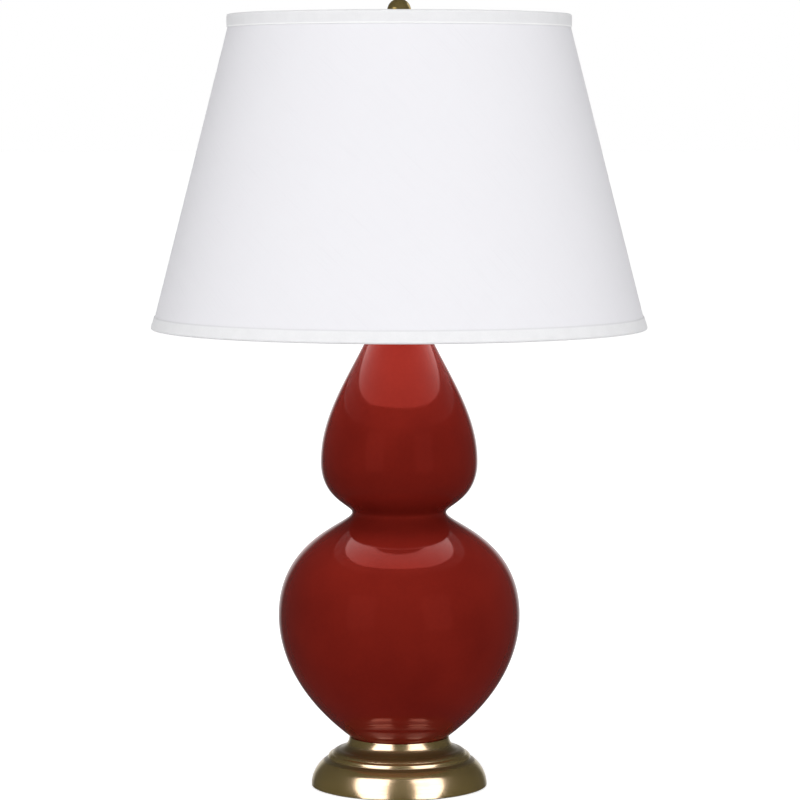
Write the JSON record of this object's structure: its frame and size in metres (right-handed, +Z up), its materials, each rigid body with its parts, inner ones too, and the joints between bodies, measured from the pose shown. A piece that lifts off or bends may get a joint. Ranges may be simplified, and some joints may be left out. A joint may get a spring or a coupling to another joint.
{
  "type": "table lamp",
  "caption": "Table lamp with a glazed double gourd ceramic body, a stepped brass base, a harp with a tapered cloth shade and a ball finial.",
  "frame": {"origin": "centre of the base on the surface it stands on", "axes": "+Z up along the lamp's axis, -Y the front with the switch, +Y the back with the cord inlet, the harp in the XZ plane"},
  "size_m": [0.4951, 0.4952, 0.7883],
  "materials": {
    "felt": "felt",
    "antique_brass": "brushed, antique",
    "cast_iron": "as cast",
    "bushing_plastic": "matt",
    "plated_steel": "zinc plated",
    "rubber": "matt",
    "red_glaze": "high gloss",
    "harp_brass": "polished",
    "socket_brass": "satin",
    "card": "matt",
    "phenolic": "gloss",
    "contact_brass": "bright",
    "frosted_glass": "frosted",
    "bulb_aluminium": "satin",
    "black_glass": "gloss",
    "solder": "dull",
    "fitter_wire": "satin",
    "shade_cloth": "slubbed weave",
    "shade_styrene": "matt",
    "shade_tape": "woven tape"
  },
  "bodies": {
    "lamp": {"felt_pad": "felt", "base_shell": "antique_brass", "base_weight": "cast_iron", "cord_bushing": "bushing_plastic", "lamp_pipe": "plated_steel", "bottom_washer": "plated_steel", "bottom_nut": "plated_steel", "foot_gasket": "rubber", "gourd_body": "red_glaze", "neck_gasket": "rubber", "vase_cap": "antique_brass", "neck_riser": "antique_brass", "harp_saddle": "harp_brass", "harp_frame": "harp_brass", "harp_stud": "harp_brass", "socket_cap": "socket_brass", "cap_set_screw": "plated_steel", "socket_shell": "socket_brass", "socket_liner": "card", "socket_core": "phenolic", "terminal_screws": "contact_brass", "screw_shell": "contact_brass", "centre_contact": "contact_brass"},
    "switch": {"switch_spindle": "contact_brass", "switch_knob": "phenolic"},
    "bulb": {"bulb_globe": "frosted_glass", "bulb_cap": "bulb_aluminium", "bulb_insulator": "black_glass", "bulb_contact": "solder"},
    "sleeve_left": {"harp_sleeve_left": "harp_brass"},
    "sleeve_right": {"harp_sleeve_right": "harp_brass"},
    "shade": {"shade_fitter": "fitter_wire", "shade_top_ring": "fitter_wire", "shade_bottom_ring": "fitter_wire", "shade_cover": "shade_cloth", "shade_lining": "shade_styrene", "shade_top_trim": "shade_tape", "shade_bottom_trim": "shade_tape"},
    "finial": {"finial": "antique_brass"}
  },
  "joints": [
    {"name": "shade_turn", "type": "hinge", "parent": "lamp", "child": "shade", "pos_m": [0, 0, 0.7554], "axis": [0, 0, 1], "continuous": true},
    {"name": "finial_turn", "type": "hinge", "parent": "lamp", "child": "finial", "pos_m": [0, 0, 0.7573], "axis": [0, 0, 1], "continuous": true},
    {"name": "bulb_turn", "type": "hinge", "parent": "lamp", "child": "bulb", "pos_m": [0, 0, 0.5213], "axis": [0, 0, 1], "continuous": true},
    {"name": "switch_turn", "type": "hinge", "parent": "lamp", "child": "switch", "pos_m": [0, -0.0182, 0.5081], "axis": [0, -1, 0], "continuous": true},
    {"name": "sleeve_left_lift", "type": "slide", "parent": "lamp", "child": "sleeve_left", "axis": [0, 0, 1], "range_m": [0, 0.012]},
    {"name": "sleeve_right_lift", "type": "slide", "parent": "lamp", "child": "sleeve_right", "axis": [0, 0, 1], "range_m": [0, 0.012]}
  ]
}
